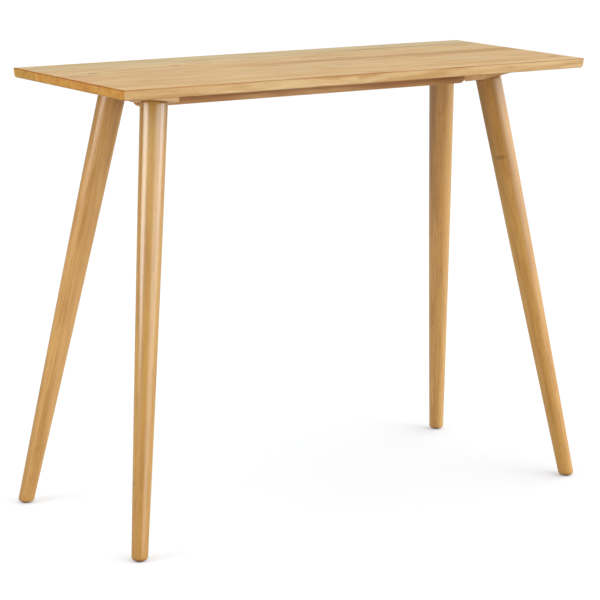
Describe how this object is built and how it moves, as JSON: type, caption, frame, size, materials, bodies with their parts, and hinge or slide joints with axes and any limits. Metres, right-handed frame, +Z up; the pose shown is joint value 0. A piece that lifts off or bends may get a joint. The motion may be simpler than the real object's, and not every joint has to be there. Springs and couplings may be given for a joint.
{
  "type": "bar table",
  "caption": "Tall solid wood bar table: long narrow glued top, stiffening rail below, and round tapered legs splayed out both ways from wedge blocks.",
  "frame": {"origin": "on the floor, under the middle of the table: the bottom centre of the whole table's box", "axes": "+X along the long side to the right, +Y to the back across the short side, +Z up; the picture looks from the front left"},
  "size_m": [1.2998, 0.5678, 1.05],
  "materials": {
    "top_wood": "clear satin lacquer on light honey hardwood",
    "rail_wood": "clear satin lacquer on honey hardwood",
    "block_wood": "clear satin lacquer on honey hardwood",
    "leg_wood": "clear semi-gloss lacquer on turned amber hardwood",
    "plated_steel": "zinc plated",
    "dowel_wood": "bare beech",
    "glide_plastic": "moulded, dark grey"
  },
  "bodies": {
    "root": {"top_stave_1": "top_wood", "top_stave_2": "top_wood", "top_stave_3": "top_wood", "top_stave_4": "top_wood", "top_stave_5": "top_wood", "stiffening_rail": "rail_wood", "leg_block_front_left": "block_wood", "leg_block_front_right": "block_wood", "leg_block_back_left": "block_wood", "leg_block_back_right": "block_wood", "leg_front_left": "leg_wood", "leg_front_right": "leg_wood", "leg_back_left": "leg_wood", "leg_back_right": "leg_wood", "hanger_bolt_front_left": "plated_steel", "hanger_bolt_front_right": "plated_steel", "hanger_bolt_back_left": "plated_steel", "hanger_bolt_back_right": "plated_steel", "foot_glide_front_left": "glide_plastic", "foot_glide_front_right": "glide_plastic", "foot_glide_back_left": "glide_plastic", "foot_glide_back_right": "glide_plastic", "threaded_inserts": "plated_steel", "block_dowels": "dowel_wood", "rail_dowels": "dowel_wood"}
  },
  "joints": []
}
